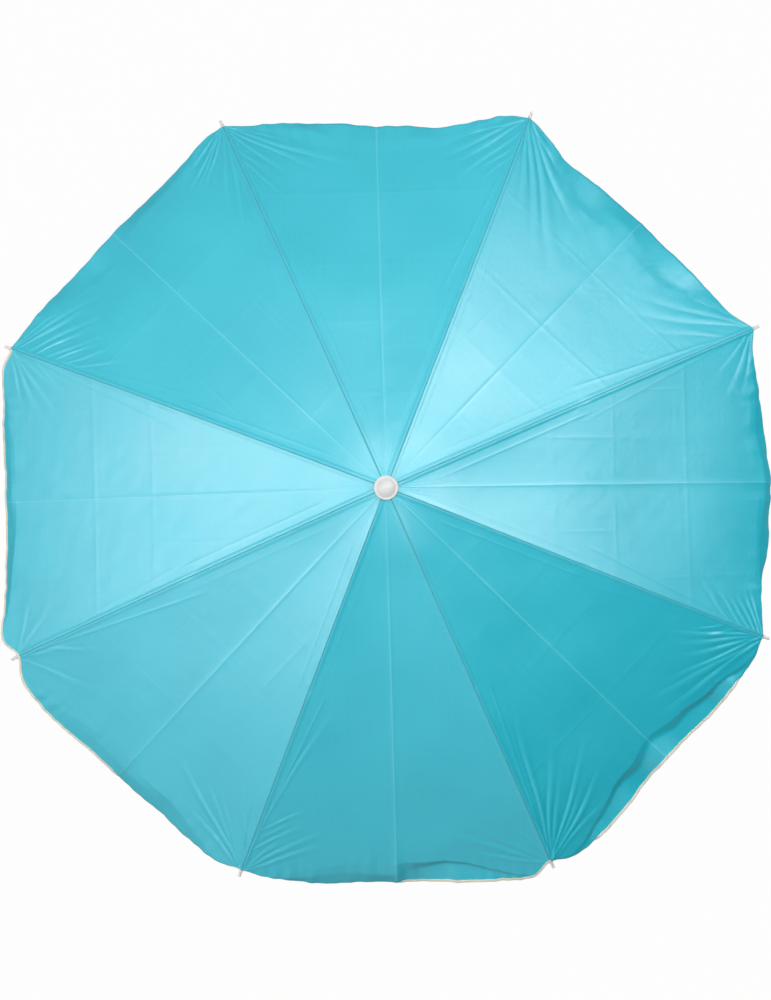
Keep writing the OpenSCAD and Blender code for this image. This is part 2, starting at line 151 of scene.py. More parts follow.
def waves(seed, count, low, high):
    """A few plane waves with random directions and phases: (kx, ky, phase, share)."""
    rng = np.random.default_rng(seed)
    turn = rng.uniform(0, math.pi, count)
    length = rng.uniform(low, high, count)
    k = 2 * math.pi / length
    return np.stack([k * np.cos(turn), k * np.sin(turn), rng.uniform(0, 2 * math.pi, count),
                     rng.uniform(0.5, 1.0, count) / count], axis=1)


def wave_sum(m, w, table):
    return sum(share * np.cos(kx * m + ky * w + phase) for kx, ky, phase, share in table)


def through(x, marks, values):
    """A smooth curve through the given values."""
    marks = np.concatenate([[-1.0], marks, [1.0]])
    values = np.concatenate([[0.0], values, [0.0]])
    lean = np.gradient(values, marks)
    i = np.clip(np.searchsorted(marks, x, side="right") - 1, 0, len(marks) - 2)
    gap = marks[i + 1] - marks[i]
    t = (x - marks[i]) / gap
    return (values[i] * (2 * t ** 3 - 3 * t ** 2 + 1) + gap * lean[i] * (t ** 3 - 2 * t ** 2 + t)
            + values[i + 1] * (3 * t ** 2 - 2 * t ** 3) + gap * lean[i + 1] * (t ** 3 - t ** 2))


def tent(distance, width):
    """A ridge with a sharp top, as a pressed crease has."""
    return np.exp(-np.abs(distance) / width)


# %% [markdown]
# ## Folds out of the corners
# All the pull of a gore meets at its two corners, so folds leave every rib tip, and more of them
# leave the seam a little further in. No two corners of a sewn canopy pull alike: one has straight
# folds towards the hem, the next a row of short ones along its seam. So each corner lists its own,
# as (start along the seam, angle off the seam in degrees, length, width, height), in millimetres.
# A fold is a broad ridge with a sharp valley on its seam side, and it widens as it runs out. The
# folds are counted and placed one by one.

# %% Corner folds
CORNER_X = float(rib_x(np.array(CORNER_S)))
CORNER_M = CORNER_X * math.cos(HALF)
CORNER_W = CORNER_X * math.sin(HALF)
FOLD_REACH = 1.25
FOLD_SPREAD = 1.55
FOLD_HEIGHT = 0.72
CORNERS = {
    (0, 1): [(0, 55, 120, 9, 1.0), (0, 40, 150, 12, 1.0), (10, 24, 120, 10, 0.7)],
    (0, -1): [(4, 54, 90, 7, 2.0), (10, 46, 80, 6, 2.2), (22, 40, 75, 6, 2.0),
              (38, 34, 80, 7, 2.0), (60, 30, 85, 8, 1.6), (95, 26, 90, 9, 1.2)],
    (1, 1): [(0, 8, 190, 9, 2.2), (0, 16, 240, 12, 2.4), (0, 25, 300, 15, 2.2),
             (0, 35, 210, 12, 2.2), (0, 46, 230, 14, 1.6), (0, 57, 120, 9, 1.6)],
    (1, -1): [(0, 24, 230, 15, 1.6), (0, 36, 220, 14, 1.4), (0, 50, 200, 13, 1.4),
              (60, 20, 160, 12, 0.8)],
    (2, 1): [(0, 60, 330, 10, 1.1), (0, 51, 150, 8, 1.2), (0, 42, 235, 11, 2.4),
             (0, 33, 190, 9, 2.2), (12, 25, 150, 8, 1.8), (62, 26, 90, 7, 1.2),
             (96, 22, 110, 7, 1.2)],
    (2, -1): [(0, 61, 230, 10, 1.2), (0, 51, 200, 11, 1.9), (0, 42, 180, 11, 2.1),
              (4, 33, 165, 10, 2.2), (30, 25, 180, 9, 1.6), (75, 28, 80, 6, 1.2),
              (105, 26, 80, 6, 1.1)],
    (3, 1): [(0, 57, 130, 8, 1.5), (2, 50, 190, 11, 1.7), (16, 47, 150, 9, 1.9),
             (38, 42, 160, 9, 1.5), (60, 43, 110, 7, 1.9), (88, 39, 120, 8, 1.3),
             (110, 40, 85, 6, 1.6), (138, 34, 95, 7, 1.2), (166, 27, 100, 7, 1.1)],
    (3, -1): [(0, 6, 260, 8, 1.8), (0, 30, 120, 6, 2.4), (0, 37, 130, 6, 2.4),
              (0, 46, 135, 7, 2.6), (0, 56, 110, 7, 2.0), (0, 16, 200, 9, 1.2)],
    (4, 1): [(0, 30, 120, 10, 0.6), (0, 50, 110, 9, 0.6)],
    (4, -1): [(0, 14, 150, 9, 0.9), (0, 27, 150, 10, 1.2), (0, 41, 130, 10, 1.0),
              (0, 58, 110, 9, 0.9), (60, 22, 120, 9, 0.7)],
    (5, 1): [(0, 9, 170, 7, 1.8), (20, 14, 150, 7, 1.8), (0, 30, 150, 8, 1.8),
             (0, 38, 170, 7, 2.8), (0, 45, 225, 8, 3.0), (0, 56, 145, 8, 2.0)],
    (5, -1): [(0, 8, 120, 8, 1.0), (0, 42, 150, 10, 0.8), (60, 20, 110, 8, 0.7)],
    (6, 1): [(0, 20, 130, 8, 1.2), (0, 33, 150, 9, 1.6), (0, 47, 210, 12, 1.8),
             (0, 57, 150, 9, 1.4)],
    (6, -1): [(0, 24, 110, 7, 1.3), (0, 36, 165, 8, 2.0), (0, 49, 150, 8, 2.0),
              (54, 38, 100, 7, 1.8), (108, 44, 95, 7, 1.6), (150, 10, 240, 8, 1.4),
              (82, 40, 80, 6, 1.0)],
    (7, 1): [(0, 10, 190, 7, 2.4), (0, 19, 170, 8, 2.4), (0, 29, 160, 9, 2.6),
             (0, 38, 190, 10, 2.6), (0, 48, 230, 12, 2.4), (0, 56, 230, 11, 2.0),
             (70, 32, 70, 6, 1.4), (100, 30, 70, 6, 1.4)],
    (7, -1): [(0, 6, 300, 8, 2.6), (0, 15, 220, 10, 2.6), (0, 25, 180, 10, 2.0),
              (0, 35, 215, 9, 3.0), (0, 44, 170, 10, 2.0), (0, 52, 180, 9, 3.0),
              (0, 60, 140, 8, 1.8)],
}


def corner_folds(panel, m, w, side):
    dm = (CORNER_M - m) / math.cos(RIB_SLOPE + RIB_TURN)
    dw = CORNER_W - side * w
    along = dm * math.cos(HALF) + dw * math.sin(HALF)
    off = dw * math.cos(HALF) - dm * math.sin(HALF)
    rng = np.random.default_rng(RNG_SEED + 100 * panel + (7 if side > 0 else 3))
    h = 0 * m
    for start, angle, length, width, height in CORNERS[panel, side]:
        c, t = math.cos(math.radians(angle)), math.sin(math.radians(angle))
        out = ((along - start * MM) * c + off * t) / (FOLD_REACH * length * MM)
        bend, wander = rng.uniform(-0.10, 0.10), rng.uniform(0, 6)
        across = off * c - (along - start * MM) * t
        across = across - length * MM * (bend * out * out + 0.012 * np.sin(7 * out + wander))
        across = across / (FOLD_SPREAD * width * MM * (0.30 + 0.70 * np.clip(out, 0, 1)))
        fade = smooth(out / 0.06) * (1 - smooth((out - 0.28) / 0.82))
        crest = np.exp(-((across - 0.55) / 0.75) ** 2)
        valley = 0.9 * np.exp(-(np.abs(across + 0.25) / 0.38) ** 1.5)
        rise = 0.40 + 0.60 * np.clip(out / 0.5, 0, 1)
        h = h + FOLD_HEIGHT * height * MM * (crest - valley) * fade * rise
    return h * smooth(off / (4 * MM))


# %% [markdown]
# ## Height of the cloth over its resting surface
# The rest of the relief is a sum of small effects, each one something that can be seen on a sewn
# canopy: the seam's folded allowance beside its stitch groove, cross puckers along the seam where
# the thread was pulled tight, the pinch at the tie half way down each rib, gathers under the cap,
# the sharp packing creases, and slow waves in the slack middle of the gore.

# %% Relief of a gore
GROOVE_W = 1.3 * MM
ALLOWANCE_W = 6 * MM
PUCKER_STEP = 11.5 * MM
PUCKER_GROUP = 0.057
PUCKER_REACH = 17 * MM
TIE_OUT = 5 * MM
STAR_REACH = 34 * MM
CREASE_W = 2.4 * MM
CREASES_ALONG = (0.093, -0.093, 0.19, -0.19)
CREASES_ACROSS = (0.20, 0.33, 0.46, 0.60)


def seam_relief(panel, s, d, side):
    """Relief beside one seam, at s along the rib and d away from it, on one side of the gore."""
    rng = np.random.default_rng(RNG_SEED + 500 * panel + (1 if side > 0 else 2))
    outer = smooth((s - BRACKET_AT) / 0.03)
    groove = -(0.5 + 0.3 * outer) * MM * np.exp(-(d / GROOVE_W) ** 2)
    under = 0.8 * MM * (1 - smooth(d / (12 * MM)))
    flap = ((0.5 if side > 0 else 0.2) * MM * (1 - np.exp(-(d / (1.2 * MM)) ** 2))
            * (1 - smooth((d - ALLOWANCE_W) / (2.5 * MM))))
    tight = smooth((s - 0.10) / 0.05) * (1 - smooth((s - 0.30) / 0.08)) + 0.25
    beat = np.cos(2 * math.pi * s / PUCKER_STEP + rng.uniform(0, 6))
    beat = beat * (0.6 + 0.4 * np.cos(2 * math.pi * s / PUCKER_GROUP + rng.uniform(0, 6)))
    pucker = 0.42 * MM * tight * beat * np.exp(-d / PUCKER_REACH) * (1 - np.exp(-d / (2 * MM)))
    inner_line = (20 + 8 * rng.random()) * MM
    inner_tuck = ((0.5 if side > 0 else 0.2) * tent(d - inner_line, 2.0 * MM)
                  * (1 - outer) * smooth((s - 0.09) / 0.06))
    narrowing = np.clip((RIB_LEN - s) / (RIB_LEN - BRACKET_AT), 0.1, 1)
    outer_line = (34 + 10 * rng.random()) * MM * narrowing
    outer_tuck = ((0.25 if side > 0 else 0.75) * tent(d - outer_line, 2.2 * MM)
                  * outer * smooth((RIB_LEN - s) / 0.05))
    tie_s = s - BRACKET_AT - TIE_OUT
    pinch = -1.2 * MM * np.exp(-((tie_s / (8 * MM)) ** 2 + (d / (5 * MM)) ** 2) / 2)
    lean = tie_s + (0.9 if side > 0 else -0.7) * d
    star_reach = np.hypot(tie_s, d)
    rays = tent(lean, 2.2 * MM) + 0.6 * tent(lean - 14 * MM, 2.4 * MM)
    star = ((1.3 if side > 0 else 0.5) * MM * rays
            * np.exp(-(star_reach / STAR_REACH) ** 2) * smooth(d / (4 * MM)))
    return groove + under + flap + pucker + (inner_tuck + outer_tuck) * MM + pinch + star


def gore_relief(panel, s, q, m, w):
    """Height of a gore's cloth over its resting surface, with every effect added up."""
    side = np.where(q >= 0, 1, -1)
    d = (1 - np.abs(q)) * rib_x(s) * math.sin(HALF)
    free = 1 - q * q
    h = np.where(side > 0, seam_relief(panel, s, d, 1), seam_relief(panel, s, d, -1))
    h = h + np.where(side > 0, corner_folds(panel, m, w, 1), corner_folds(panel, m, w, -1))
    h = h - 5 * MM * free * np.sin(math.pi * np.clip(s / RIB_LEN, 0, 1))
    slow = waves(RNG_SEED + panel, 6, 0.16, 0.42)
    h = h + 3.2 * MM * free * smooth(s / 0.2) * wave_sum(m, w, slow)
    quick = waves(RNG_SEED + 30 + panel, 7, 0.035, 0.09)
    h = h + 0.45 * MM * free * smooth(s / 0.1) * wave_sum(m, w, quick)
    gather = np.cos(2 * math.pi * 4.5 * q + panel) * np.exp(-np.clip(s, 0, 1) / 0.035)
    h = h + 0.22 * MM * gather * (1 - np.abs(q) ** 8) * smooth((s + 7 * MM) / 0.02)
    crown = np.exp(-((s - 0.105) / 0.06) ** 2) - 0.8 * np.exp(-((s - 0.01) / 0.035) ** 2)
    h = h + 2.0 * MM * crown
    return h + crease_relief(panel, s, m, w) * smooth(d / (8 * MM))


def crease_relief(panel, s, m, w):
    rng = np.random.default_rng(RNG_SEED + 900 + panel)
    mark = 0.7 * MM * tent(w, 2.6 * MM) * (0.3 + 0.7 * smooth(s / 0.3))
    for across in CREASES_ALONG:
        begin = abs(across) / math.tan(HALF) + rng.uniform(0.03, 0.10)
        height = rng.uniform(0.2, 0.5) * MM
        mark = mark + height * tent(w - across, CREASE_W) * smooth((m - begin) / 0.08)
    for out in CREASES_ACROSS:
        place = out + rng.uniform(-0.012, 0.012)
        mark = mark + rng.uniform(0.2, 0.45) * MM * tent(m - place, CREASE_W)
    return mark


# %% [markdown]
# ## The free strip at the hem
# Outside the tight line from tip to tip nothing pulls on the cloth. It turns over that line, drops
# by the panel's own angle and ripples. The strip is widest in the middle of a gore and dies out at
# the tips.

# %% Rows and columns of a gore
ROW_STEPS = [(0.0, 92, 0.58), (0.58, 70, 0.82), (0.82, 74, 1.0)]
STRIP_ROWS = 20
COL_STEPS = [(0.0, 4, 0.0045), (0.0045, 16, 0.50), (0.50, 21, 0.80), (0.80, 21, 0.955),
             (0.955, 10, 1.0)]


def spread(steps):
    """Places from 0 to 1, closer together where the steps say so."""
    parts = [np.linspace(a, b, n, endpoint=False) for a, n, b in steps]
    return np.concatenate(parts + [np.array([1.0])])


def habit(panel, name, q):
    """A hem angle in radians, blended from one half of the gore to the other."""
    one, other = PANELS[panel][name]
    return np.radians(one + (other - one) * smooth((q + 0.06) / 0.12))


def curl_angle(panel, q):
    """How far the edge is rolled under at the places q across the gore, in radians."""
    flat = PANELS[panel].get("flat", CURL_ALL_ALONG)
    return habit(panel, "curl", q) * smooth((np.abs(q) - flat) / 0.10)


def strip_width(panel, q):
    """Width of the free strip at the places q, with what its rolled edge takes up."""
    tuck = np.abs(curl_angle(panel, q)) * 3.2 * MM
    return PANELS[panel]["strip"] * MM * smooth((1 - np.abs(q)) / 0.72) + 1.5 * MM + tuck


def strip_path(panel, q):
    """How the strip runs out and drops beyond the tight line: distance along it, out and down."""
    ell = np.linspace(0, 1, STRIP_ROWS + 1)[1:, None] * strip_width(panel, q)[None, :]
    share = ell / strip_width(panel, q)[None, :]
    q2 = np.broadcast_to(q[None, :], ell.shape)
    sway = wave_sum(0 * q2, q2 * CORNER_W, waves(RNG_SEED + 80 + panel, 4, 0.08, 0.22))
    two = 0.25 + 0.75 * np.sin(math.pi * np.abs(q2) ** 0.8) ** 2
    settle = smooth((share - 0.26 - 0.25 * sway) / 0.22)
    fall = habit(panel, "drop", q2) * two * smooth(share / 0.08)
    rest = (strip_width(panel, q)[None, :] - ell) / (11 * MM)
    curl = curl_angle(panel, q2) * (1 - smooth(rest))
    lap = 1 - np.abs(q2) ** 10
    onward = habit(panel, "hang", q2) + 0.30 * sway
    angle = slope_at(CORNER_S) + lap * (fall * (1 - settle) + onward * settle) + curl
    step = np.diff(np.concatenate([np.zeros((1, len(q))), ell]), axis=0)
    run = np.cumsum(np.cos(angle) * step, axis=0)
    drop = np.cumsum(np.sin(angle) * step, axis=0)
    return ell, run, drop, angle


def fold_s(panel, q, run):
    """Where the tight line must lie, so that the strip beyond it ends on the outline."""
    edge = through(q, EDGE_AT, np.array(PANELS[panel]["edge"]) * MM) * (1 - np.abs(q) ** 24)
    return CORNER_S + (edge - run.max(axis=0)) / (math.cos(HALF) * math.cos(slope_at(CORNER_S)))


def gore(panel, q):
    """Points and cloth coordinates of the gore at the places q across it."""
    v = spread(ROW_STEPS)[:, None]
    ell, run, drop, angle = strip_path(panel, q)
    edge = fold_s(panel, q, run)[None, :]
    s = CROWN_S + (edge - CROWN_S) * v
    qq = np.broadcast_to(q[None, :], s.shape)
    x = rib_x(s)
    m, w = x * math.cos(HALF), qq * x * math.sin(HALF)
    inside = edge - s
    h = gore_relief(panel, s, qq, m, w)
    lap = 1 - np.abs(qq) ** 4
    puckers = waves(RNG_SEED + 40 + panel, 5, 0.022, 0.05)
    h = h + 0.9 * MM * lap * np.exp(-inside / (22 * MM)) * wave_sum(0 * m, w, puckers) * 3
    a = slope_at(s)
    z = rib_z(s) + CLOTH_LIFT + CLOTH_T + h * np.cos(a)
    points = np.stack([m + h * np.sin(a), w, z], axis=2)
    cloth = np.stack([w, s], axis=2)
    share = ell / strip_width(panel, q)[None, :]
    lap2 = 1 - np.abs(np.broadcast_to(q[None, :], ell.shape)) ** 10
    w0 = points[-1, :, 1][None, :]
    ripples = waves(RNG_SEED + 90 + panel, 5, 0.022, 0.06)
    flutter = 2.2 * MM * lap2 * share ** 0.7 * wave_sum(0 * ell, w0 + 0 * ell, ripples)
    strip = np.stack([points[-1, :, 0] + run + flutter * np.sin(angle),
                      np.broadcast_to(w0, ell.shape) * (1 + run / CORNER_M),
                      points[-1, :, 2] - drop + flutter * np.cos(angle)], axis=2)
    points = np.concatenate([points, strip], axis=0)
    strip_cloth = np.stack([np.broadcast_to(w0, ell.shape), edge + ell], axis=2)
    cloth = np.concatenate([cloth, strip_cloth], axis=0)
    return points, cloth


# %% [markdown]
# ## Cloth that folds with its rib
# When the umbrella closes, every rib carries its own share of cloth inwards. So the canopy is cut
# along the packing creases, where a fold line hides the cut, and each rib carries the two half
# gores beside it.

# %% Mesh helpers
def panel_axes(panel):
    a = panel * STEP
    return np.array([[math.cos(a), math.sin(a), 0], [-math.sin(a), math.cos(a), 0], [0, 0, 1]])


def link(name, verts, faces):
    mesh = bpy.data.meshes.new(name)
    mesh.from_pydata([tuple(v) for v in verts], [], faces)
    mesh.validate()
    obj = bpy.data.objects.new(name, mesh)
    bpy.context.scene.collection.objects.link(obj)
    return obj


def only(obj):
    bpy.ops.object.select_all(action="DESELECT")
    obj.select_set(True)
    bpy.context.view_layer.objects.active = obj


def apply(obj, kind, **settings):
    only(obj)
    mod = obj.modifiers.new(kind.title(), kind)
    for key, value in settings.items():
        setattr(mod, key, value)
    bpy.ops.object.modifier_apply(modifier=mod.name)


def grid_faces(rows, cols):
    i, j = np.meshgrid(np.arange(rows - 1), np.arange(cols - 1), indexing="ij")
    a = (i * cols + j).ravel()
    return np.stack([a, a + cols, a + cols + 1, a + 1], axis=1)


# %% Canopy sectors
def canopy_sector(k):
    """Cloth from the middle of gore k-1 to the middle of gore k, over rib k."""
    half = spread(COL_STEPS)
    left = gore((k - 1) % RIBS, half)
    right = gore(k % RIBS, -half[::-1])
    world = [part[0] @ panel_axes(p % RIBS) for part, p in ((left, k - 1), (right, k))]
    seam_gap = np.abs(world[0][:, -1] - world[1][:, 0]).max()
    points = np.concatenate([world[0], world[1][:, 1:]], axis=1)
    rows, cols = points.shape[:2]
    faces = grid_faces(rows, cols)
    obj = link(f"canopy_cloth_{k}", points.reshape(-1, 3), faces.tolist())
    mesh = obj.data
    mesh.shade_smooth()
    n = len(half)
    corner = faces.ravel()
    column = corner % cols
    row = corner // cols
    on_left = np.repeat((faces[:, 0] % cols) < n - 1, 4)
    uv = np.where(on_left[:, None], left[1][row, np.minimum(column, n - 1)],
                  right[1][row, np.maximum(column - n + 1, 0)])
    layer = mesh.uv_layers.new(name="cloth")
    layer.data.foreach_set("uv", uv.ravel())
    off_seam = np.concatenate([(1 - half), -(1 - half)[::-1][1:]])[None, :]
    seam = off_seam * np.hypot(points[:, :, 0], points[:, :, 1]) * math.sin(HALF)
    layer = mesh.attributes.new("seam", "FLOAT", "POINT")
    layer.data.foreach_set("value", seam.ravel().astype(np.float32))
    return obj, points, seam_gap


SHEETS = []
for k in range(1, RIBS + 1):
    obj, grid, gap = canopy_sector(k)
    SHEETS.append((k, obj, grid))
    print(obj.name, len(obj.data.polygons), "faces, widest step at the seam %.5f m" % gap)

# %% [markdown]
# ## Binding on the hem
# The raw edge is closed in a cream tape, folded over it and stitched. A tape is thicker and
# stiffer than the cloth, so it is its own piece: a flat loop carried along the edge, with five
# lines on the upper side and five on the lower, which follow the cloth where it is rolled under.

# %% Hem binding
TAPE_T = 0.7 * MM
TAPE_LINES = np.array([0.0, 0.9, 2.2, 3.6, 5.2]) * MM
ROWS_INSIDE = 10


def unit(vectors):
    return vectors / (np.linalg.norm(vectors, axis=-1, keepdims=True) + 1e-12)


def binding(k, grid):
    """A closed loop of tape around the edge of one sector; it looks back from the edge inwards."""
    back = grid[::-1][:STRIP_ROWS + ROWS_INSIDE]
    gone = np.cumsum(np.linalg.norm(np.diff(back, axis=0, prepend=back[:1]), axis=2), axis=0)
    lines = np.stack([[np.interp(TAPE_LINES, gone[:, c], back[:, c, i]) for i in range(3)]
                      for c in range(back.shape[1])]).transpose(0, 2, 1)
    out = unit(-np.gradient(lines, axis=1))
    up = unit(np.cross(out, unit(np.gradient(lines, axis=0))))
    nose = (lines[:, 0] + out[:, 0] * 1.4 * TAPE_T - up[:, 0] * CLOTH_T / 2)[:, None]
    upper, lower = lines + up * TAPE_T, lines - up * (CLOTH_T + TAPE_T)
    ring = np.concatenate([nose, upper, lower[:, ::-1]], axis=1)
    count, size = ring.shape[:2]
    faces = []
    for i in range(count - 1):
        for j in range(size):
            a, b = i * size + j, i * size + (j + 1) % size
            faces.append((a, b, b + size, a + size))
    faces.append(tuple(range(size))[::-1])
    faces.append(tuple((count - 1) * size + j for j in range(size)))
    obj = link(f"hem_binding_{k}", ring.reshape(-1, 3), faces)
    only(obj)
    bpy.ops.object.mode_set(mode="EDIT")
    bpy.ops.mesh.select_all(action="SELECT")
    bpy.ops.mesh.normals_make_consistent(inside=False)
    bpy.ops.object.mode_set(mode="OBJECT")
    obj.data.shade_smooth()
    return obj


BINDINGS = [binding(k, grid) for k, obj, grid in SHEETS]
for k, obj, grid in SHEETS:
    apply(obj, "SOLIDIFY", thickness=CLOTH_T, offset=-1.0)
print("bound", len(BINDINGS), "hem edges")

# %% [markdown]
# ## Shader groups
# Two effects are wanted in several finishes, so each is a node group with named inputs: the
# over-and-under of a plain weave, and the fine grain of moulded plastic with the slow smudges that
# keep a large surface from looking flat.

# %% Node helpers
def new_group(name, inputs, outputs):
    group = bpy.data.node_groups.new(name, "ShaderNodeTree")
    for title, kind, value in inputs:
        socket = group.interface.new_socket(title, in_out="INPUT", socket_type=kind)
        if value is not None:
            socket.default_value = value
    for title, kind in outputs:
        group.interface.new_socket(title, in_out="OUTPUT", socket_type=kind)
    return group, group.nodes.new("NodeGroupInput"), group.nodes.new("NodeGroupOutput")


class Net:
    """Short names for adding and joining nodes in one tree."""

    def __init__(self, tree):
        self.tree = tree

    def add(self, kind, **settings):
        node = self.tree.nodes.new(kind)
        for key, value in settings.items():
            setattr(node, key, value)
        return node

    def put(self, value, socket):
        if isinstance(value, bpy.types.NodeSocket):
            self.tree.links.new(value, socket)
        else:
            socket.default_value = value

    def math(self, operation, *values, clamp=False):
        node = self.add("ShaderNodeMath", operation=operation, use_clamp=clamp)
        for value, socket in zip(values, node.inputs):
            self.put(value, socket)
        return node.outputs[0]

    def vector(self, operation, a, b):
        node = self.add("ShaderNodeVectorMath", operation=operation)
        self.put(a, node.inputs[0])
        self.put(b, node.inputs[1])
        return node.outputs[0]

    def noise(self, vector, scale, detail=3.0, roughness=0.5):
        node = self.add("ShaderNodeTexNoise")
        self.put(vector, node.inputs["Vector"])
        self.put(scale, node.inputs["Scale"])
        node.inputs["Detail"].default_value = detail
        node.inputs["Roughness"].default_value = roughness
        return node.outputs["Fac"]

    def span(self, value, low, high, to_low=0.0, to_high=1.0):
        node = self.add("ShaderNodeMapRange")
        for v, socket in zip((value, low, high, to_low, to_high), node.inputs):
            self.put(v, socket)
        return node.outputs["Result"]

    def mix(self, share, a, b):
        node = self.add("ShaderNodeMix", data_type="RGBA")
        self.put(share, node.inputs[0])
        self.put(a, node.inputs[6])
        self.put(b, node.inputs[7])
        return node.outputs[2]

    def group(self, tree, **values):
        node = self.add("ShaderNodeGroup", node_tree=tree)
        for title, value in values.items():
            self.put(value, node.inputs[title])
        return node


# %% Weave and grain
def weave_group():
    tree, start, end = new_group(
        "plain_weave",
        [("Vector", "NodeSocketVector", None), ("Thread", "NodeSocketFloat", 0.0006)],
        [("Height", "NodeSocketFloat")])
    net = Net(tree)
    split = net.add("ShaderNodeSeparateXYZ")
    net.put(start.outputs["Vector"], split.inputs[0])
    turn = net.math("DIVIDE", math.pi, start.outputs["Thread"])
    across = net.math("SINE", net.math("MULTIPLY", split.outputs[0], turn))
    along = net.math("SINE", net.math("MULTIPLY", split.outputs[1], turn))
    over = net.math("MULTIPLY", across, along)
    height = net.math("ADD", net.math("MULTIPLY", over, 0.5), 0.5)
    tree.links.new(height, end.inputs["Height"])
    return tree


def grain_group():
    tree, start, end = new_group(
        "moulded_grain",
        [("Vector", "NodeSocketVector", None), ("Size", "NodeSocketFloat", 2500.0)],
        [("Height", "NodeSocketFloat"), ("Smudge", "NodeSocketFloat")])
    net = Net(tree)
    fine = net.noise(start.outputs["Vector"], start.outputs["Size"], 3.0, 0.6)
    broad = net.noise(start.outputs["Vector"], 45.0, 3.0, 0.55)
    tree.links.new(fine, end.inputs["Height"])
    tree.links.new(net.span(broad, 0.35, 0.7), end.inputs["Smudge"])
    return tree


WEAVE = weave_group()
GRAIN = grain_group()
print("shader groups:", WEAVE.name, GRAIN.name)

# %% [markdown]
# ## Canopy cloth
# Turquoise polyester, plain woven from bright filament yarn. The dye is strong and the yarn is
# shiny, so what changes from gore to gore is mostly the white light on top of the colour. Each
# gore is cut with its warp down the middle, so the shine is stretched along the warp by the
# gore's own cloth coordinates. Three marks of light and shade are painted into the colour: a dark
# line along each seam for the shadow in its gap, a pale line down each packing crease for its
# highlight, and pale crinkle ridges for their glints.

# %% Canopy material
def material(name):
    mat = bpy.data.materials.new(name)
    mat.use_nodes = True
    net = Net(mat.node_tree)
    return mat, net, mat.node_tree.nodes["Principled BSDF"]


def bump(net, height, strength, distance):
    node = net.add("ShaderNodeBump")
    node.inputs["Strength"].default_value = strength
    node.inputs["Distance"].default_value = distance
    net.put(height, node.inputs["Height"])
    return node.outputs["Normal"]


DYE = (0.001, 0.470, 0.602, 1)
DYE_PALER = (0.003, 0.505, 0.643, 1)
THREAD_SHINE = (0.012, 0.56, 0.70, 1)
SEAM_GAP_SHADE = (0.0, 0.17, 0.24, 1)
CREASE_HIGHLIGHT = (0.13, 0.66, 0.78, 1)
CRINKLE_GLINT = (0.05, 0.62, 0.75, 1)
CLOTH_THREAD = 0.00055
ALONG_WARP = (240.0, 5.0, 1.0)
ALONG_WEFT = (5.0, 240.0, 1.0)


